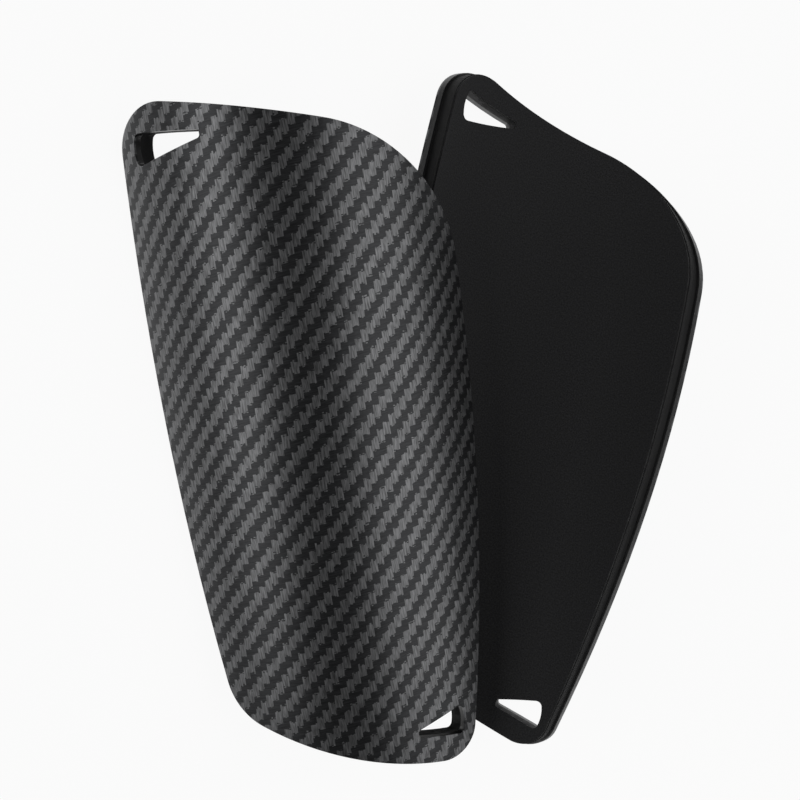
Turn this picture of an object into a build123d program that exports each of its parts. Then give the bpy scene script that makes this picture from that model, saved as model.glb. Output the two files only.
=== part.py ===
"""A pair of football shin guards: two mirror-image curved guards, the left one leaning on the right.

Each guard is a moulded carbon twill shell with a foam pad bonded inside it and a knit lining on
the pad. Millimetres. The right guard lies on its back on Z = 0 with its hollow up. The left guard
stands hollow side down, with one long edge on Z = 0 and the other resting in the right guard.
+Y runs from the ankle end to the knee end. The origin is at the bottom centre of the pair.
"""
from build123d import *
import math
import os

os.makedirs("parts", exist_ok=True)

# Section across the shin, measured on the shell's outer face; the sweep is in degrees
crown_radius = 57.6
crown_half_width = 22.0
flank_radius = 64.2
flank_sweep = 45.0

# Outline, seen square to the crown line: half lengths and half widths to the unrounded corners
knee_tall_y = 106.4
knee_tall_x = -45.1
knee_low_y = 84.8
knee_low_x = 47.9
ankle_long_y = -102.6
ankle_long_x = 38.2
ankle_short_y = -78.3
ankle_short_x = -32.0

# How far the middle of each edge bows outward
knee_edge_bow = 0.2
low_side_bow = 6.5
ankle_edge_bow = 3.0
tall_side_bow = 5.1

# Corner roundings
knee_tall_round = 12.7
knee_low_round = 44.0
ankle_long_round = 9.0
ankle_short_round = 17.5

# Vent slots: wedges with their wide mouth towards a corner of the outline and their narrow tip
# towards the crown. The insets run from the outline corner to the slot's nearest corner.
knee_slot_side_inset = 5.5
knee_slot_end_inset = 10.5
knee_slot_length = 20.6
knee_slot_mouth_width = 9.8
knee_slot_tip_width = 2.2
knee_slot_mouth_bow = 1.1
knee_slot_tip_offset = 2.7
knee_slot_mouth_round = 1.8
knee_slot_tip_round = 1.0
ankle_slot_side_inset = 2.1
ankle_slot_end_inset = 8.1
ankle_slot_length = 13.6
ankle_slot_mouth_width = 9.2
ankle_slot_tip_width = 2.2
ankle_slot_mouth_bow = 0.9
ankle_slot_tip_offset = 3.2
ankle_slot_mouth_round = 1.6
ankle_slot_tip_round = 1.0

# Layers, from the outside in
shell_thickness = 2.2
bond_thickness = 0.2
foam_thickness = 3.6
lining_thickness = 0.6
pad_margin = 0.6
lining_margin = 0.9

# How the two guards lie: turn about Z, then knee end up, then side tilt, in degrees
left_turn = 7.6
left_nose_up = 3.0
left_tilt = -15.6
right_turn = -14.0
right_tilt = -7.7
left_offset = (-68.5, -8.3)
seat_clearance = 0.3

# Working values of the form block and of the settling
block_depth = 70.0
start_height = 30.0
settling_steps = 30
settled_fall = 0.02


def vent_slot(near, run, rise, mouth_width, mouth_bow, tip_width, tip_offset, mouth_round, tip_round):
    """Flat shape of one vent slot: a wedge of the given run, with a bowed mouth and rounded corners.

    near is its corner closest to the outline's corner; rise is +1 or -1, the way to its other side.
    """
    near = Vector(*near)
    tip_near = near + Vector(run, rise * tip_offset)
    with BuildSketch() as slot:
        with BuildLine():
            far = near + Vector(0, rise * mouth_width)
            tip_far = tip_near + Vector(0, rise * tip_width)
            Polyline(near, tip_near, tip_far, far)
            SagittaArc(far, near, mouth_bow)
        make_face()
        roundings = {mouth_round: (near, far), tip_round: (tip_near, tip_far)}
        for rounding, corners in roundings.items():
            for corner in corners:
                fillet(slot.vertices().sort_by_distance(corner)[0], rounding)
    return slot.sketch


knee_slot = vent_slot(
    (knee_tall_x + knee_slot_side_inset, knee_tall_y - knee_slot_end_inset),
    knee_slot_length,
    -1,
    knee_slot_mouth_width,
    knee_slot_mouth_bow,
    knee_slot_tip_width,
    knee_slot_tip_offset,
    knee_slot_mouth_round,
    knee_slot_tip_round,
)
ankle_slot = vent_slot(
    (ankle_long_x - ankle_slot_side_inset, ankle_long_y + ankle_slot_end_inset),
    -ankle_slot_length,
    1,
    ankle_slot_mouth_width,
    ankle_slot_mouth_bow,
    ankle_slot_tip_width,
    ankle_slot_tip_offset,
    ankle_slot_mouth_round,
    ankle_slot_tip_round,
)


def guard_form(margin):
    """The curved form under one layer: its top faces have the guard's outline, set in by a margin."""
    crown_angle = math.degrees(math.asin(crown_half_width / crown_radius))
    knee_tall = (knee_tall_x, knee_tall_y)
    knee_low = (knee_low_x, knee_low_y)
    ankle_long = (ankle_long_x, ankle_long_y)
    ankle_short = (ankle_short_x, ankle_short_y)
    with BuildPart() as form:
        with BuildSketch(Plane.XZ.offset(2 * ankle_long_y)):
            with BuildLine():
                crown = CenterArc((0, -crown_radius), crown_radius, 90 - crown_angle, 2 * crown_angle)
                flank = JernArc(crown @ 0, -1 * (crown % 0), flank_radius, -flank_sweep)
                hem = flank @ 1
                Polyline(hem, (hem.X, -block_depth), (-hem.X, -block_depth), (-hem.X, hem.Y))
                mirror(flank, Plane.YZ)
            make_face()
        extrude(amount=-4 * ankle_long_y)
        with BuildSketch(Plane.XY.offset(-block_depth)) as outline:
            with BuildLine():
                SagittaArc(knee_tall, knee_low, knee_edge_bow)
                SagittaArc(knee_low, ankle_long, low_side_bow)
                SagittaArc(ankle_long, ankle_short, ankle_edge_bow)
                SagittaArc(ankle_short, knee_tall, tall_side_bow)
            make_face()
            fillet(outline.vertices().sort_by_distance(knee_tall)[0], knee_tall_round)
            fillet(outline.vertices().sort_by_distance(knee_low)[0], knee_low_round)
            fillet(outline.vertices().sort_by_distance(ankle_long)[0], ankle_long_round)
            fillet(outline.vertices().sort_by_distance(ankle_short)[0], ankle_short_round)
            if margin:
                offset(amount=-margin)
            add(knee_slot, mode=Mode.SUBTRACT)
            add(ankle_slot, mode=Mode.SUBTRACT)
        extrude(amount=2 * block_depth, mode=Mode.INTERSECT)
    return form.faces().filter_by(lambda face: face.normal_at().Z > 0.3)


def hollow_faces(layer):
    """The faces of a layer that look into the guard's hollow."""
    return layer.faces().filter_by(GeomType.CYLINDER).filter_by(lambda face: face.normal_at().Z < -0.3)


def packing(outline, depth):
    """Everything between the outer face and a given depth, within an outline."""
    with BuildPart() as stack:
        thicken(outline, amount=-depth)
    return stack


shell_outline = guard_form(0)
pad_outline = guard_form(pad_margin)
lining_outline = guard_form(lining_margin)

with BuildPart() as shell:
    thicken(shell_outline, amount=-shell_thickness)

with BuildPart() as bond_film:
    thicken(hollow_faces(packing(pad_outline, shell_thickness)), amount=bond_thickness)

with BuildPart() as foam_pad:
    thicken(hollow_faces(bond_film), amount=foam_thickness)

with BuildPart() as lining:
    lining_depth = shell_thickness + bond_thickness + foam_thickness
    thicken(hollow_faces(packing(lining_outline, lining_depth)), amount=lining_thickness)

layers = {"shell": shell, "bond_film": bond_film, "foam_pad": foam_pad, "lining": lining}
outer_layers = ("shell", "foam_pad", "lining")


def laid(layer, place):
    """A copy of a layer at its place."""
    with BuildPart() as copy:
        with Locations(place):
            add(layer.part)
    return copy


def flipped(layer):
    """The other hand of a layer, with its hollow up."""
    with BuildPart() as other_hand:
        mirror(layer.part, about=Plane.XY)
    return other_hand


def foot_height(pieces):
    """Height of the lowest point of a guard."""
    return min(piece.part.bounding_box().min.Z for piece in pieces.values())


def on_floor(pieces):
    """The same guard, dropped or raised until its lowest point is at Z = 0."""
    drop = Location((0, 0, -foot_height(pieces)))
    return {name: laid(piece, drop) for name, piece in pieces.items()}


right_lie = Rot(Z=right_turn) * Rot(Y=right_tilt)
left_lie = Pos(*left_offset) * Rot(Z=left_turn) * Rot(X=left_nose_up) * Rot(Y=left_tilt)
right_guard = on_floor({name: laid(flipped(layer), right_lie) for name, layer in layers.items()})
left_guard = on_floor({name: laid(layer, left_lie) for name, layer in layers.items()})

# The left guard comes down on the right one until it meets the floor or the seat clearance
right_solids = Compound([right_guard[name].part for name in outer_layers])
left_solids = Compound([left_guard[name].part for name in outer_layers])
height = start_height
for step in range(settling_steps):
    gap = (Pos(Z=height) * left_solids).distance_to(right_solids)
    fall = min(gap - seat_clearance, height)
    if fall < settled_fall:
        break
    height -= fall
left_guard = {name: laid(piece, Pos(Z=height)) for name, piece in left_guard.items()}
print(f"left guard stands {height:.3f} mm above the floor, {gap:.3f} mm clear of the right one")

# The pair's bottom centre is the origin
pair = Compound([piece.part for piece in (*left_guard.values(), *right_guard.values())]).bounding_box()
to_origin = Location((-pair.center().X, -pair.center().Y, 0))
for side, guard in (("left", left_guard), ("right", right_guard)):
    for name, piece in guard.items():
        node = laid(piece, to_origin)
        node.part.label = f"{side}_{name}"
        export_step(node.part, f"parts/{side}_{name}.step")
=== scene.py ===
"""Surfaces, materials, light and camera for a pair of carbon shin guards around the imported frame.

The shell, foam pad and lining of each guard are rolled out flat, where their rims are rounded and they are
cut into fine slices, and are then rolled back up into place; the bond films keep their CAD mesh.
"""

import math

import bmesh
import bpy
from bpy.props import FloatProperty, FloatVectorProperty, PointerProperty
from mathutils import Matrix, Vector


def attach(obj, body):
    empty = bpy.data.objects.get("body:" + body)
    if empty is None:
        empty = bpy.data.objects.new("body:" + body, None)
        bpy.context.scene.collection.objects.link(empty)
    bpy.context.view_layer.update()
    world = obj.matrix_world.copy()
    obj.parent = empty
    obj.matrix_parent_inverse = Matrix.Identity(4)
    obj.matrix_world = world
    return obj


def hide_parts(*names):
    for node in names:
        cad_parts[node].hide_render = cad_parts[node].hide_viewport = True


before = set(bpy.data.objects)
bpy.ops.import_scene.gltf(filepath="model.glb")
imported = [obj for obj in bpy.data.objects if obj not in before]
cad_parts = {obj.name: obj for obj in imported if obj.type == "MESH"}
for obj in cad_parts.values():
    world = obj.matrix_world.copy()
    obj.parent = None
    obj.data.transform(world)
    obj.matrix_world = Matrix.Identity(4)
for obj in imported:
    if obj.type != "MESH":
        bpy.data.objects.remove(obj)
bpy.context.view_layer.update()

bl_info = {
    "name": "Shin Guard Pair",
    "version": (1, 0, 0),
    "blender": (4, 5, 0),
    "location": "View3D > Sidebar > Shin Guards",
    "description": "Lays up a pair of carbon shin guards around their solid model and lights them",
    "category": "Object",
}

SIDES = ("left", "right")
CLOTH_UV = "Cloth"
DEPTH = "Depth"

# Closeness of points that are one point, of a point to a face's level, and of faces to being one
MERGE = 1e-6
LEVEL_SLACK = 1e-5
FLAT_ANGLE = math.radians(0.6)
# Upright share of a face's normal below which it is a wall
STEEP = 0.5


class GuardSection(bpy.types.PropertyGroup):
    """Section of both guards and how each one lies."""

    crown_radius: FloatProperty(
        name="Crown Radius",
        description="Outer radius over the shin bone",
        default=0.0576,
        unit="LENGTH",
    )
    crown_half_width: FloatProperty(
        name="Crown Half Width",
        description="From the crown line to where the flanks begin",
        default=0.022,
        unit="LENGTH",
    )
    flank_radius: FloatProperty(
        name="Flank Radius", description="Outer radius of the flanks", default=0.0642, unit="LENGTH"
    )
    left_lie: FloatVectorProperty(
        name="Left Lie",
        description="Knee end up, side tilt and turn of the left guard",
        default=(math.radians(3.0), math.radians(-15.6), math.radians(7.6)),
        subtype="EULER",
    )
    left_crown: FloatVectorProperty(
        name="Left Crown",
        description="Middle of the left guard's crown line",
        default=(-0.0382344, -0.0100595, 0.0318316),
        subtype="XYZ",
    )
    right_lie: FloatVectorProperty(
        name="Right Lie",
        description="Knee end up, side tilt and turn of the right guard",
        default=(0.0, math.radians(-7.7), math.radians(-14.0)),
        subtype="EULER",
    )
    right_crown: FloatVectorProperty(
        name="Right Crown",
        description="Middle of the right guard's crown line",
        default=(0.0302656, -0.0017595, 0.0005194),
        subtype="XYZ",
    )


class GuardRims(bpy.types.PropertyGroup):
    """Roundings of the layers' rims and the fineness of their slices."""

    shell_outer: FloatProperty(
        name="Shell Rim", description="Rounding of the shell's outer rim", default=0.0007, unit="LENGTH"
    )
    shell_inner: FloatProperty(
        name="Shell Inner Rim",
        description="Rounding of the shell's inner rim",
        default=0.0003,
        unit="LENGTH",
    )
    pad_edge: FloatProperty(
        name="Pad Edge",
        description="Rounding of the foam pad's free edge",
        default=0.0003,
        unit="LENGTH",
    )
    lining_edge: FloatProperty(
        name="Lining Edge",
        description="Rounding of the lining's free edge",
        default=0.00045,
        unit="LENGTH",
    )
    slice_across: FloatProperty(
        name="Slice Across",
        description="Width of the slices across the shin",
        default=0.002,
        unit="LENGTH",
    )
    slice_along: FloatProperty(
        name="Slice Along",
        description="Length of the slices along the shin",
        default=0.008,
        unit="LENGTH",
    )


class TwillFinish(bpy.types.PropertyGroup):
    """The carbon twill under its clear coat."""

    warp_pitch: FloatProperty(
        name="Warp Pitch",
        description="Width of one tow along the guard",
        default=0.002126,
        unit="LENGTH",
    )
    weft_pitch: FloatProperty(
        name="Weft Pitch",
        description="Width of one tow across the guard",
        default=0.001839,
        unit="LENGTH",
    )
    skew: FloatProperty(
        name="Skew", description="Rise of the weft tows across the guard", default=0.129
    )
    lean: FloatProperty(name="Lean", description="Lean of the warp tows along the guard", default=0.047)
    # Painted reflection: warp and weft are the same black fibre. The lighter warp colour paints the sheen
    # the warp tows catch from the side lamps, and the darker weft colour paints the weft's shade.
    warp_painted_sheen_color: FloatVectorProperty(
        name="Warp",
        description="Colour of the tows along the guard",
        default=(0.115, 0.116, 0.119),
        subtype="COLOR",
    )
    weft_painted_shade_color: FloatVectorProperty(
        name="Weft",
        description="Colour of the tows across the guard",
        default=(0.026, 0.0265, 0.028),
        subtype="COLOR",
    )
    raw_color: FloatVectorProperty(
        name="Raw Edge",
        description="Colour of the cut walls",
        default=(0.008, 0.008, 0.0085),
        subtype="COLOR",
    )
    raw_depth: FloatProperty(
        name="Raw Depth",
        description="Depth at which the cut walls begin",
        default=0.0005,
        unit="LENGTH",
    )
    gloss: FloatProperty(name="Gloss", description="How metallic the tows look", default=0.85)
    roughness: FloatProperty(name="Roughness", description="Roughness of the tows", default=0.4)
    roughness_swing: FloatProperty(
        name="Roughness Swing", description="Its swing from fibre to fibre", default=0.06
    )
    coat: FloatProperty(name="Coat", description="Weight of the clear coat", default=0.12)
    coat_roughness: FloatProperty(
        name="Coat Roughness", description="Roughness of the clear coat", default=0.3
    )
    relief: FloatProperty(
        name="Relief", description="Height of the floats under the coat", default=0.00006, unit="LENGTH"
    )


class PadFinish(bpy.types.PropertyGroup):
    """Foam, knit and adhesive."""

    foam_color: FloatVectorProperty(
        name="Foam", description="Colour of the foam", default=(0.0115, 0.0115, 0.012), subtype="COLOR"
    )
    knit_color: FloatVectorProperty(
        name="Knit",
        description="Colour of the knit lining",
        default=(0.0165, 0.0165, 0.0175),
        subtype="COLOR",
    )
    film_color: FloatVectorProperty(
        name="Film",
        description="Colour of the adhesive film",
        default=(0.014, 0.014, 0.014),
        subtype="COLOR",
    )
    knit_pitch: FloatProperty(
        name="Knit Pitch",
        description="Distance from one knit wale to the next",
        default=0.00062,
        unit="LENGTH",
    )
    relief: FloatProperty(
        name="Relief",
        description="Height of the knit and of the foam's grain",
        default=0.00012,
        unit="LENGTH",
    )


class StageSettings(bpy.types.PropertyGroup):
    """Camera, floor and lamps."""

    camera_place: FloatVectorProperty(
        name="Camera", description="Camera place", default=(-0.09007, 0.01244, 0.33129), subtype="XYZ"
    )
    camera_turn: FloatVectorProperty(
        name="Camera Turn",
        description="Turns of the camera",
        default=(math.radians(-1.54), math.radians(-14.91), 0.0),
        subtype="EULER",
    )
    lens: FloatProperty(name="Lens", description="Focal length in millimetres", default=47.64)
    floor_size: FloatProperty(
        name="Floor Size", description="Side of the square floor", default=8.0, unit="LENGTH"
    )
    floor_drop: FloatProperty(
        name="Floor Drop",
        description="Floor's distance below the guards",
        default=0.0003,
        unit="LENGTH",
    )
    floor_color: FloatVectorProperty(
        name="Floor", description="Colour of the floor", default=(0.8, 0.8, 0.8), subtype="COLOR"
    )
    floor_white: FloatProperty(
        name="Floor White",
        description="Share of plain white in the floor as the camera sees it",
        default=0.93,
    )
    room_light: FloatProperty(
        name="Room Light", description="Strength of the light from all round", default=0.13
    )
    lamp_distance: FloatProperty(
        name="Lamp Distance", description="From the left guard to each lamp", default=0.9, unit="LENGTH"
    )
    lamp_length: FloatProperty(
        name="Lamp Length",
        description="Length of both lamps along the guards",
        default=1.1,
        unit="LENGTH",
    )
    lamp_middle: FloatProperty(
        name="Lamp Middle",
        description="Where the lamps are aimed, across",
        default=-0.03,
        unit="LENGTH",
    )
    left_lamp_angle: FloatProperty(
        name="Left Lamp Angle",
        description="From straight up",
        default=math.radians(-59.0),
        unit="ROTATION",
    )
    left_lamp_width: FloatProperty(
        name="Left Lamp Width", description="Its width", default=0.5, unit="LENGTH"
    )
    left_lamp_power: FloatProperty(name="Left Lamp Power", description="Watts", default=3.1)
    right_lamp_angle: FloatProperty(
        name="Right Lamp Angle",
        description="From straight up",
        default=math.radians(38.0),
        unit="ROTATION",
    )
    right_lamp_width: FloatProperty(
        name="Right Lamp Width", description="Its width", default=0.8, unit="LENGTH"
    )
    right_lamp_power: FloatProperty(name="Right Lamp Power", description="Watts", default=4.0)


GROUPS = {
    "guard_section": GuardSection,
    "guard_rims": GuardRims,
    "twill_finish": TwillFinish,
    "pad_finish": PadFinish,
    "stage_settings": StageSettings,
}


def settings(name):
    """One of the scene's groups of values."""
    return getattr(bpy.context.scene, name)


# ---------------------------------------------------------------- rolling out and rolling up


class Roll:
    """Takes points of one guard between its place and the flat cloth.

    On the flat cloth X is the way round the section from the crown line, Y the way along the
    guard and Z minus the depth below the shell's outer face.
    """

    def __init__(self, side):
        section = settings("guard_section")
        self.crown_radius = section.crown_radius
        self.flank_radius = section.flank_radius
        self.crown_angle = math.asin(section.crown_half_width / section.crown_radius)
        self.crown_reach = section.crown_radius * self.crown_angle
        extra = section.flank_radius - section.crown_radius
        self.flank_x = -extra * math.sin(self.crown_angle)
        self.flank_z = -section.crown_radius - extra * math.cos(self.crown_angle)
        nose_up, tilt, turn = getattr(section, f"{side}_lie")
        crown = getattr(section, f"{side}_crown")
        level = Matrix.Rotation(nose_up, 4, "X") @ Matrix.Rotation(tilt, 4, "Y")
        turned = Matrix.Rotation(turn, 4, "Z") @ level
        flip = Matrix.Diagonal((1, 1, 1 if side == "left" else -1, 1))
        self.place = Matrix.Translation(crown) @ turned @ flip
        self.out_of_place = self.place.inverted()

    def out(self, point):
        """A point in its place, rolled out."""
        p = self.out_of_place @ point
        across = abs(p.x)
        angle = math.atan2(across, p.z + self.crown_radius)
        if angle <= self.crown_angle:
            reach = self.crown_radius * angle
            depth = self.crown_radius - math.hypot(across, p.z + self.crown_radius)
        else:
            angle = math.atan2(across - self.flank_x, p.z - self.flank_z)
            reach = self.crown_reach + self.flank_radius * (angle - self.crown_angle)
            depth = self.flank_radius - math.hypot(across - self.flank_x, p.z - self.flank_z)
        return Vector((math.copysign(reach, p.x), p.y, -depth))

    def up(self, point):
        """A point of the flat cloth, rolled up into its place."""
        reach = abs(point.x)
        if reach <= self.crown_reach:
            angle = reach / self.crown_radius
            radius = self.crown_radius + point.z
            across = radius * math.sin(angle)
            height = radius * math.cos(angle) - self.crown_radius
        else:
            angle = self.crown_angle + (reach - self.crown_reach) / self.flank_radius
            radius = self.flank_radius + point.z
            across = self.flank_x + radius * math.sin(angle)
            height = self.flank_z + radius * math.cos(angle)
        return self.place @ Vector((math.copysign(across, point.x), point.y, height))


def flat_layer(side, name, roll):
    """A merged copy of a CAD layer, rolled out flat and cleared of the edges inside its flat faces."""
    layer = bmesh.new()
    layer.from_mesh(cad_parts[f"{side}_{name}"].data)
    bmesh.ops.remove_doubles(layer, verts=layer.verts, dist=MERGE)
    for vert in layer.verts:
        vert.co = roll.out(vert.co)
    bmesh.ops.dissolve_limit(layer, angle_limit=FLAT_ANGLE, verts=layer.verts, edges=layer.edges)
    bmesh.ops.recalc_face_normals(layer, faces=layer.faces)
    return layer


def rim_edges(layer, top):
    """Edges between the walls and the upper or the lower flat face."""
    layer.normal_update()
    level = (max if top else min)(vert.co.z for vert in layer.verts)
    rims = []
    for edge in layer.edges:
        if len(edge.link_faces) != 2 or any(abs(vert.co.z - level) > LEVEL_SLACK for vert in edge.verts):
            continue
        steep = [abs(face.normal.z) < STEEP for face in edge.link_faces]
        if steep[0] != steep[1]:
            rims.append(edge)
    return rims


def round_rim(layer, top, radius, segments):
    """Rounds the upper or the lower rim all the way round the outline and the slots."""
    bmesh.ops.bevel(
        layer,
        geom=rim_edges(layer, top),
        offset=radius,
        segments=segments,
        profile=0.5,
        affect="EDGES",
        material=-1,
        clamp_overlap=True,
    )


def slice_layer(layer, across, along):
    """Cuts the flat layer into a grid, so that it can follow the section when it is rolled up."""
    for axis, step in ((0, across), (1, along)):
        low = min(vert.co[axis] for vert in layer.verts)
        high = max(vert.co[axis] for vert in layer.verts)
        normal = Vector((axis == 0, axis == 1, 0))
        count = int((high - low) / step)
        for cut in range(1, count + 1):
            at = low + (high - low) * cut / (count + 1)
            parts = layer.verts[:] + layer.edges[:] + layer.faces[:]
            bmesh.ops.bisect_plane(layer, geom=parts, dist=MERGE * 2, plane_co=normal * at, plane_no=normal)


def rolled_piece(side, name, layer, roll, material):
    """The finished piece: its cloth map written, rolled up, shaded smooth and put on its body."""
    cloth = layer.loops.layers.uv.new(CLOTH_UV)
    deep = layer.verts.layers.float.new(DEPTH)
    for vert in layer.verts:
        vert[deep] = -vert.co.z
    for face in layer.faces:
        face.smooth = True
        for loop in face.loops:
            loop[cloth].uv = loop.vert.co.xy
    for vert in layer.verts:
        vert.co = roll.up(vert.co)
    bmesh.ops.recalc_face_normals(layer, faces=layer.faces)
    mesh = bpy.data.meshes.new(f"{side}_{name}_rolled")
    layer.to_mesh(mesh)
    layer.free()
    mesh.materials.append(material)
    piece = bpy.data.objects.new(f"{side}_{name}_rolled", mesh)
    bpy.context.scene.collection.objects.link(piece)
    even = piece.modifiers.new("Even Shading", "WEIGHTED_NORMAL")
    even.keep_sharp = True
    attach(piece, f"{side}_guard")
    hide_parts(f"{side}_{name}")
    return piece


# ---------------------------------------------------------------- node helpers


class Board:
    """Places nodes in one tree and links them."""

    def __init__(self, tree):
        self.tree = tree

    def add(self, kind, **values):
        """A new node with the given values."""
        node = self.tree.nodes.new(kind)
        for name, value in values.items():
            setattr(node, name, value)
        return node

    def feed(self, socket, value):
        """Links an output to a socket, or sets the socket to a number or colour."""
        if hasattr(value, "links"):
            self.tree.links.new(value, socket)
        else:
            socket.default_value = value

    def math(self, operation, *values):
        """Output of one sum."""
        node = self.add("ShaderNodeMath", operation=operation)
        for socket, value in zip(node.inputs, values):
            self.feed(socket, value)
        return node.outputs[0]

    def mix(self, factor, first, second):
        """Colour mix."""
        node = self.add("ShaderNodeMix", data_type="RGBA")
        self.feed(node.inputs[0], factor)
        self.feed(node.inputs[6], first)
        self.feed(node.inputs[7], second)
        return node.outputs[2]

    def spread(self, value, low, high, new_low=0.0, new_high=1.0):
        """Map range, clamped."""
        node = self.add("ShaderNodeMapRange")
        for socket, number in zip(node.inputs, (value, low, high, new_low, new_high)):
            self.feed(socket, number)
        return node.outputs[0]

    def noise(self, vector, scale, detail=2.0, roughness=0.5):
        """Smooth noise from 0 to 1."""
        node = self.add("ShaderNodeTexNoise")
        self.feed(node.inputs["Vector"], vector)
        node.inputs["Scale"].default_value = scale
        node.inputs["Detail"].default_value = detail
        node.inputs["Roughness"].default_value = roughness
        return node.outputs["Fac"]


def node_group(name, inputs, outputs):
    """A new shader node group with named sockets, and its board, input and output nodes."""
    tree = bpy.data.node_groups.new(name, "ShaderNodeTree")
    for label, kind, default in inputs:
        socket = tree.interface.new_socket(label, in_out="INPUT", socket_type=kind)
        if default is not None:
            socket.default_value = default
    for label, kind in outputs:
        tree.interface.new_socket(label, in_out="OUTPUT", socket_type=kind)
    board = Board(tree)
    return tree, board, board.add("NodeGroupInput").outputs, board.add("NodeGroupOutput").inputs


def twill_group():
    """A 2/2 twill on a flat cloth map: which tow is on top, its streaks and its height."""
    tree, board, given, out = node_group(
        "Twill Weave",
        [
            ("Cloth", "NodeSocketVector", None),
            ("Warp Pitch", "NodeSocketFloat", 0.0021),
            ("Weft Pitch", "NodeSocketFloat", 0.0018),
            ("Skew", "NodeSocketFloat", 0.0),
            ("Lean", "NodeSocketFloat", 0.0),
        ],
        [("Warp", "NodeSocketFloat"), ("Streak", "NodeSocketFloat"), ("Height", "NodeSocketFloat")],
    )
    split = board.add("ShaderNodeSeparateXYZ")
    board.feed(split.inputs[0], given["Cloth"])
    across, along = split.outputs[0], split.outputs[1]
    leaned_across = board.math("ADD", across, board.math("MULTIPLY", along, given["Lean"]))
    warp_at = board.math("DIVIDE", leaned_across, given["Warp Pitch"])
    leaned = board.math("SUBTRACT", along, board.math("MULTIPLY", across, given["Skew"]))
    weft_at = board.math("DIVIDE", leaned, given["Weft Pitch"])
    warp_no = board.math("FLOOR", warp_at)
    in_warp = board.math("FRACT", warp_at)
    # each tow ends in a few uneven strands
    strand = board.math("FLOOR", board.math("MULTIPLY", warp_at, 4.0))
    ragged = board.add("ShaderNodeTexWhiteNoise", noise_dimensions="2D")
    join = board.add("ShaderNodeCombineXYZ")
    board.feed(join.inputs[0], strand)
    float_no = board.math("DIVIDE", board.math("SUBTRACT", weft_at, warp_no), 2.0)
    board.feed(join.inputs[1], board.math("FLOOR", float_no))
    board.feed(ragged.inputs["Vector"], join.outputs[0])
    ragged_end = board.math("MULTIPLY", board.math("SUBTRACT", ragged.outputs["Value"], 0.5), 0.5)
    weft_ragged = board.math("ADD", weft_at, ragged_end)
    weft_no = board.math("FLOOR", weft_ragged)
    order = board.math("FLOORED_MODULO", board.math("SUBTRACT", weft_no, warp_no), 4.0)
    warp_up = board.math("LESS_THAN", order, 1.5)
    # streaks of fibre along each tow
    streaks = board.add("ShaderNodeCombineXYZ")
    board.feed(streaks.inputs[0], board.math("MULTIPLY", warp_at, 5.0))
    board.feed(streaks.inputs[1], board.math("MULTIPLY", weft_at, 0.45))
    fibre = board.noise(streaks.outputs[0], 1.0, 2.0, 0.6)
    cross = board.add("ShaderNodeCombineXYZ")
    board.feed(cross.inputs[0], board.math("MULTIPLY", warp_at, 0.45))
    board.feed(cross.inputs[1], board.math("MULTIPLY", weft_at, 5.0))
    cross_fibre = board.noise(cross.outputs[0], 1.0, 2.0, 0.6)
    pick = board.add("ShaderNodeMix", data_type="FLOAT")
    board.feed(pick.inputs[0], warp_up)
    board.feed(pick.inputs[2], cross_fibre)
    board.feed(pick.inputs[3], fibre)
    # crowned floats
    warp_round = board.math("SINE", board.math("MULTIPLY", in_warp, math.pi))
    weft_round = board.math("SINE", board.math("MULTIPLY", board.math("FRACT", weft_at), math.pi))
    warp_phase = board.math("FLOORED_MODULO", board.math("SUBTRACT", weft_at, warp_no), 4.0)
    warp_run = board.math("DIVIDE", warp_phase, 2.0)
    warp_arch = board.math("MAXIMUM", board.math("SINE", board.math("MULTIPLY", warp_run, math.pi)), 0.0)
    weft_start = board.math("SUBTRACT", board.math("SUBTRACT", warp_at, weft_no), 1.0)
    weft_run = board.math("DIVIDE", board.math("FLOORED_MODULO", weft_start, 4.0), 2.0)
    weft_arch = board.math("MAXIMUM", board.math("SINE", board.math("MULTIPLY", weft_run, math.pi)), 0.0)
    warp_swell = board.math("MULTIPLY", warp_arch, 0.6)
    weft_swell = board.math("MULTIPLY", weft_arch, 0.6)
    warp_height = board.math("ADD", board.math("MULTIPLY", warp_round, 0.4), warp_swell)
    weft_height = board.math("ADD", board.math("MULTIPLY", weft_round, 0.4), weft_swell)
    height = board.add("ShaderNodeMix", data_type="FLOAT")
    board.feed(height.inputs[0], warp_up)
    board.feed(height.inputs[2], weft_height)
    board.feed(height.inputs[3], warp_height)
    board.feed(out["Warp"], warp_up)
    board.feed(out["Streak"], pick.outputs[0])
    board.feed(out["Height"], height.outputs[0])
    return tree


def grain_group():
    """Fine uneven grain on Object coordinates: a colour factor and a height."""
    tree, board, given, out = node_group(
        "Fine Grain",
        [
            ("Vector", "NodeSocketVector", None),
            ("Size", "NodeSocketFloat", 0.001),
            ("Contrast", "NodeSocketFloat", 0.3),
        ],
        [("Tone", "NodeSocketFloat"), ("Height", "NodeSocketFloat")],
    )
    scaled = board.add("ShaderNodeVectorMath", operation="SCALE")
    board.feed(scaled.inputs[0], given["Vector"])
    board.feed(scaled.inputs["Scale"], board.math("DIVIDE", 1.0, given["Size"]))
    grain = board.noise(scaled.outputs[0], 1.0, 3.0, 0.6)
    swing = board.math("MULTIPLY", board.math("SUBTRACT", grain, 0.5), given["Contrast"])
    board.feed(out["Tone"], board.math("ADD", 1.0, board.math("MULTIPLY", swing, 2.0)))
    board.feed(out["Height"], grain)
    return tree


def new_material(name):
    """A material with its Principled shader, board and output."""
    material = bpy.data.materials.new(name)
    material.use_nodes = True
    material.node_tree.nodes.clear()
    board = Board(material.node_tree)
    shader = board.add("ShaderNodeBsdfPrincipled")
    board.tree.links.new(shader.outputs[0], board.add("ShaderNodeOutputMaterial").inputs[0])
    return material, board, shader


def placed_group(board, tree, **values):
    """A node group in a material, fed with values or sockets. Underscores stand for spaces."""
    node = board.add("ShaderNodeGroup", node_tree=tree)
    for name, value in values.items():
        board.feed(node.inputs[name.replace("_", " ")], value)
    return node.outputs


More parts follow.
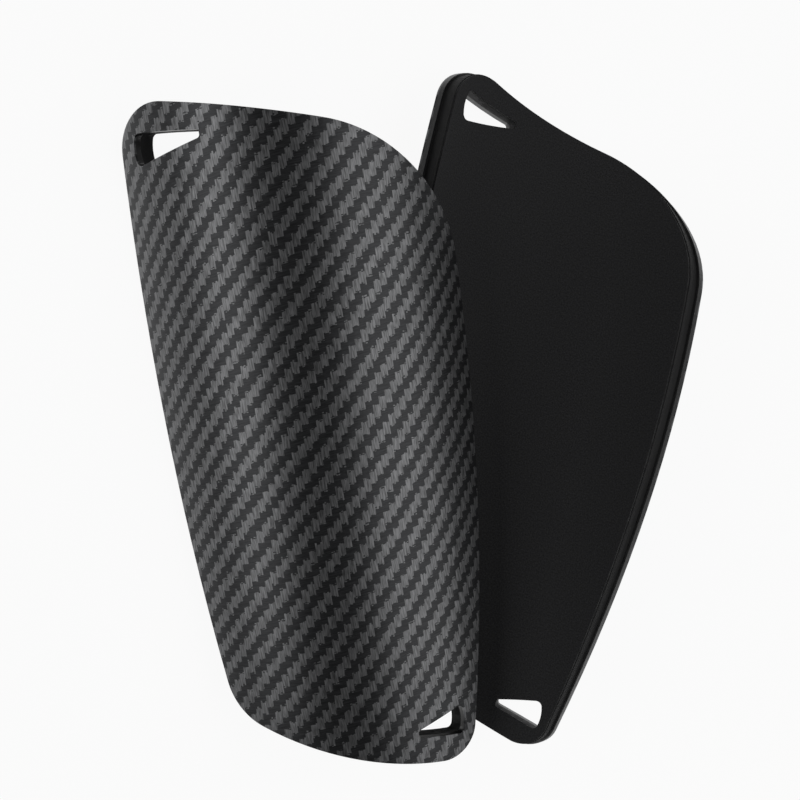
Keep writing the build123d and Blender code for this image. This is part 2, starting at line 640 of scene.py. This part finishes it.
def bumped(board, shader, height, distance, strength=1.0):
    """Gives a shader a relief of the given depth."""
    node = board.add("ShaderNodeBump")
    board.feed(node.inputs["Height"], height)
    node.inputs["Distance"].default_value = distance
    node.inputs["Strength"].default_value = strength
    board.feed(shader.inputs["Normal"], node.outputs[0])


def scaled_color(board, color, tone):
    """A colour made lighter or darker by a tone."""
    node = board.add("ShaderNodeVectorMath", operation="SCALE")
    board.feed(node.inputs[0], color)
    board.feed(node.inputs["Scale"], tone)
    return node.outputs[0]


def twill_material(groups):
    """Twill under a satin clear coat, with a painted sheen on the warp tows and painted shade on the weft
    tows in place of their reflection; raw resin and fibre ends on the cut walls.
    """
    finish = settings("twill_finish")
    material, board, shader = new_material("Carbon Twill")
    cloth = board.add("ShaderNodeUVMap", uv_map=CLOTH_UV).outputs[0]
    weave = placed_group(
        board,
        groups["twill"],
        Cloth=cloth,
        Warp_Pitch=finish.warp_pitch,
        Weft_Pitch=finish.weft_pitch,
        Skew=finish.skew,
        Lean=finish.lean,
    )
    # Painted sheen and shade: where the warp is on top the tows get the light colour, and elsewhere the
    # dark one. Streaks along the fibres vary this painted sheen.
    streak = board.spread(weave["Streak"], 0.3, 0.7, 0.45, 1.75)
    soft_streak = board.spread(weave["Streak"], 0.3, 0.7, 0.7, 1.5)
    painted_warp_sheen = scaled_color(board, (*finish.warp_painted_sheen_color,), streak)
    painted_weft_shade = scaled_color(board, (*finish.weft_painted_shade_color,), soft_streak)
    face = board.mix(weave["Warp"], painted_weft_shade, painted_warp_sheen)
    depth = board.add("ShaderNodeAttribute", attribute_name=DEPTH).outputs["Fac"]
    wall = board.spread(depth, finish.raw_depth, finish.raw_depth + 0.0003)
    coords = board.add("ShaderNodeTexCoord").outputs["Object"]
    grain = placed_group(board, groups["grain"], Vector=coords, Size=0.0004, Contrast=1.2)
    raw = scaled_color(board, (*finish.raw_color,), grain["Tone"])
    board.feed(shader.inputs["Base Color"], board.mix(wall, face, raw))
    polished = board.math("SUBTRACT", 1.0, wall)
    board.feed(shader.inputs["Metallic"], board.math("MULTIPLY", polished, finish.gloss))
    smoothest = finish.roughness - finish.roughness_swing
    roughest = finish.roughness + finish.roughness_swing
    board.feed(shader.inputs["Roughness"], board.spread(weave["Streak"], 0.2, 0.8, smoothest, roughest))
    shader.inputs["Coat Weight"].default_value = finish.coat
    shader.inputs["Coat Roughness"].default_value = finish.coat_roughness
    bumped(board, shader, weave["Height"], finish.relief, 0.6)
    return material


def foam_material(groups):
    """Closed-cell foam."""
    finish = settings("pad_finish")
    material, board, shader = new_material("Closed Cell Foam")
    coords = board.add("ShaderNodeTexCoord").outputs["Object"]
    grain = placed_group(board, groups["grain"], Vector=coords, Size=0.00035, Contrast=0.5)
    board.feed(shader.inputs["Base Color"], scaled_color(board, (*finish.foam_color,), grain["Tone"]))
    shader.inputs["Roughness"].default_value = 0.75
    shader.inputs["Specular IOR Level"].default_value = 0.35
    bumped(board, shader, grain["Height"], finish.relief, 0.5)
    return material


def knit_material(groups):
    """Fine warp knit."""
    finish = settings("pad_finish")
    material, board, shader = new_material("Knit Lining")
    cloth = board.add("ShaderNodeUVMap", uv_map=CLOTH_UV).outputs[0]
    split = board.add("ShaderNodeSeparateXYZ")
    board.feed(split.inputs[0], cloth)
    wale = board.math("SINE", board.math("MULTIPLY", split.outputs[0], math.tau / finish.knit_pitch))
    course_pitch = finish.knit_pitch * 0.8
    course = board.math("SINE", board.math("MULTIPLY", split.outputs[1], math.tau / course_pitch))
    loops = board.math("MULTIPLY", wale, course)
    grain = placed_group(board, groups["grain"], Vector=cloth, Size=0.0005, Contrast=1.6)
    tone = board.math("ADD", grain["Tone"], board.math("MULTIPLY", loops, 0.12))
    board.feed(shader.inputs["Base Color"], scaled_color(board, (*finish.knit_color,), tone))
    shader.inputs["Roughness"].default_value = 0.9
    shader.inputs["Specular IOR Level"].default_value = 0.25
    shader.inputs["Sheen Weight"].default_value = 0.15
    shader.inputs["Sheen Roughness"].default_value = 0.5
    height = board.math("ADD", grain["Height"], board.math("MULTIPLY", loops, 0.3))
    bumped(board, shader, height, finish.relief, 0.6)
    return material


def film_material(groups):
    """Adhesive film, seen only as a thin line."""
    finish = settings("pad_finish")
    material, board, shader = new_material("Bond Film")
    coords = board.add("ShaderNodeTexCoord").outputs["Object"]
    grain = placed_group(board, groups["grain"], Vector=coords, Size=0.0006, Contrast=0.6)
    board.feed(shader.inputs["Base Color"], scaled_color(board, (*finish.film_color,), grain["Tone"]))
    shader.inputs["Roughness"].default_value = 0.6
    return material


def shared_groups():
    """The node groups that the materials share, built once."""
    made = {}
    for key, name, build in (("twill", "Twill Weave", twill_group), ("grain", "Fine Grain", grain_group)):
        made[key] = bpy.data.node_groups.get(name) or build()
    return made


# ---------------------------------------------------------------- operators


class SHIN_OT_shells(bpy.types.Operator):
    """Lay up both carbon shells"""

    bl_idname = "shin.shells"
    bl_label = "Carbon Shells"

    def execute(self, context):
        rims = settings("guard_rims")
        material = twill_material(shared_groups())
        for side in SIDES:
            roll = Roll(side)
            layer = flat_layer(side, "shell", roll)
            round_rim(layer, True, rims.shell_outer, 3)
            round_rim(layer, False, rims.shell_inner, 2)
            slice_layer(layer, rims.slice_across, rims.slice_along)
            rolled_piece(side, "shell", layer, roll, material)
        return {"FINISHED"}


class SHIN_OT_films(bpy.types.Operator):
    """Finish both bond films"""

    bl_idname = "shin.films"
    bl_label = "Bond Films"

    def execute(self, context):
        material = film_material(shared_groups())
        for side in SIDES:
            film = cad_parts[f"{side}_bond_film"]
            film.data.materials.clear()
            film.data.materials.append(material)
        return {"FINISHED"}


class SHIN_OT_pads(bpy.types.Operator):
    """Mould both foam pads"""

    bl_idname = "shin.pads"
    bl_label = "Foam Pads"

    def execute(self, context):
        rims = settings("guard_rims")
        material = foam_material(shared_groups())
        for side in SIDES:
            roll = Roll(side)
            layer = flat_layer(side, "foam_pad", roll)
            round_rim(layer, False, rims.pad_edge, 4)
            slice_layer(layer, rims.slice_across, rims.slice_along)
            pad = rolled_piece(side, "foam_pad", layer, roll, material)
        return {"FINISHED"}


class SHIN_OT_linings(bpy.types.Operator):
    """Lay both knit linings on the pads"""

    bl_idname = "shin.linings"
    bl_label = "Knit Linings"

    def execute(self, context):
        rims = settings("guard_rims")
        material = knit_material(shared_groups())
        for side in SIDES:
            roll = Roll(side)
            layer = flat_layer(side, "lining", roll)
            faces = [face for face in layer.faces if abs(face.normal.z) > STEEP]
            area = sum(face.calc_area() for face in faces) / 2
            round_rim(layer, False, rims.lining_edge, 3)
            slice_layer(layer, rims.slice_across, rims.slice_along)
            lining = rolled_piece(side, "lining", layer, roll, material)
        return {"FINISHED"}


class SHIN_OT_stage(bpy.types.Operator):
    """Set the floor, the lamps and the camera"""

    bl_idname = "shin.stage"
    bl_label = "Stage"

    def execute(self, context):
        stage = settings("stage_settings")
        scene = context.scene
        floor_mesh = bpy.data.meshes.new("floor")
        grid = bmesh.new()
        bmesh.ops.create_grid(grid, x_segments=1, y_segments=1, size=stage.floor_size / 2)
        bmesh.ops.translate(grid, verts=grid.verts, vec=(0, 0, -stage.floor_drop))
        grid.to_mesh(floor_mesh)
        grid.free()
        floor = bpy.data.objects.new("floor", floor_mesh)
        scene.collection.objects.link(floor)
        material = bpy.data.materials.new("Pale Floor")
        material.use_nodes = True
        material.node_tree.nodes.clear()
        board = Board(material.node_tree)
        matt = board.add("ShaderNodeBsdfDiffuse")
        matt.inputs["Color"].default_value = (*stage.floor_color, 1)
        white = board.add("ShaderNodeEmission")
        path = board.add("ShaderNodeLightPath").outputs
        seen = board.math("MAXIMUM", path["Is Camera Ray"], path["Is Glossy Ray"])
        blend = board.add("ShaderNodeMixShader")
        board.feed(blend.inputs[0], board.math("MULTIPLY", seen, stage.floor_white))
        board.feed(blend.inputs[1], matt.outputs[0])
        board.feed(blend.inputs[2], white.outputs[0])
        board.tree.links.new(blend.outputs[0], board.add("ShaderNodeOutputMaterial").inputs[0])
        floor_mesh.materials.append(material)

        world = bpy.data.worlds.new("Studio")
        scene.world = world
        world.use_nodes = True
        world.node_tree.nodes.clear()
        board = Board(world.node_tree)
        sky = board.add("ShaderNodeBackground")
        path = board.add("ShaderNodeLightPath").outputs
        strength = board.spread(path["Is Camera Ray"], 0.0, 1.0, stage.room_light, 1.0)
        board.feed(sky.inputs["Strength"], strength)
        board.tree.links.new(sky.outputs[0], board.add("ShaderNodeOutputWorld").inputs[0])

        for side in SIDES:
            name = f"{side.title()} Soft Box"
            lamp = bpy.data.lights.new(name, "AREA")
            lamp.shape = "RECTANGLE"
            lamp.size = getattr(stage, f"{side}_lamp_width")
            lamp.size_y = stage.lamp_length
            lamp.energy = getattr(stage, f"{side}_lamp_power")
            holder = bpy.data.objects.new(name, lamp)
            lean = getattr(stage, f"{side}_lamp_angle")
            aside = stage.lamp_distance * math.sin(lean)
            holder.location = (stage.lamp_middle + aside, 0.0, stage.lamp_distance * math.cos(lean))
            holder.rotation_euler = (0, lean, 0)
            holder.visible_camera = False
            scene.collection.objects.link(holder)

        camera = bpy.data.cameras.new("Camera")
        camera.lens = stage.lens
        camera.clip_start = 0.01
        eye = bpy.data.objects.new("Camera", camera)
        eye.location = stage.camera_place
        eye.rotation_euler = stage.camera_turn
        scene.collection.objects.link(eye)
        scene.camera = eye
        scene.view_settings.view_transform = "Standard"
        return {"FINISHED"}


OPERATORS = (SHIN_OT_shells, SHIN_OT_films, SHIN_OT_pads, SHIN_OT_linings, SHIN_OT_stage)


class SHIN_PT_panel(bpy.types.Panel):
    """Lists the values and the steps that lay up the guards"""

    bl_idname = "SHIN_PT_panel"
    bl_label = "Shin Guards"
    bl_space_type = "VIEW_3D"
    bl_region_type = "UI"
    bl_category = "Shin Guards"

    def draw(self, context):
        for name, group in GROUPS.items():
            box = self.layout.box()
            for value in group.__annotations__:
                box.prop(getattr(context.scene, name), value)
        for operator in OPERATORS:
            self.layout.operator(operator.bl_idname)


def register():
    for group in GROUPS.values():
        bpy.utils.register_class(group)
    for name, group in GROUPS.items():
        setattr(bpy.types.Scene, name, PointerProperty(type=group))
    for operator in (*OPERATORS, SHIN_PT_panel):
        bpy.utils.register_class(operator)


def unregister():
    for operator in (SHIN_PT_panel, *OPERATORS):
        bpy.utils.unregister_class(operator)
    for name, group in GROUPS.items():
        delattr(bpy.types.Scene, name)
        bpy.utils.unregister_class(group)


def main():
    register()
    for operator in OPERATORS:
        family, step = operator.bl_idname.split(".")
        getattr(getattr(bpy.ops, family), step)()


if __name__ == "__main__":
    main()
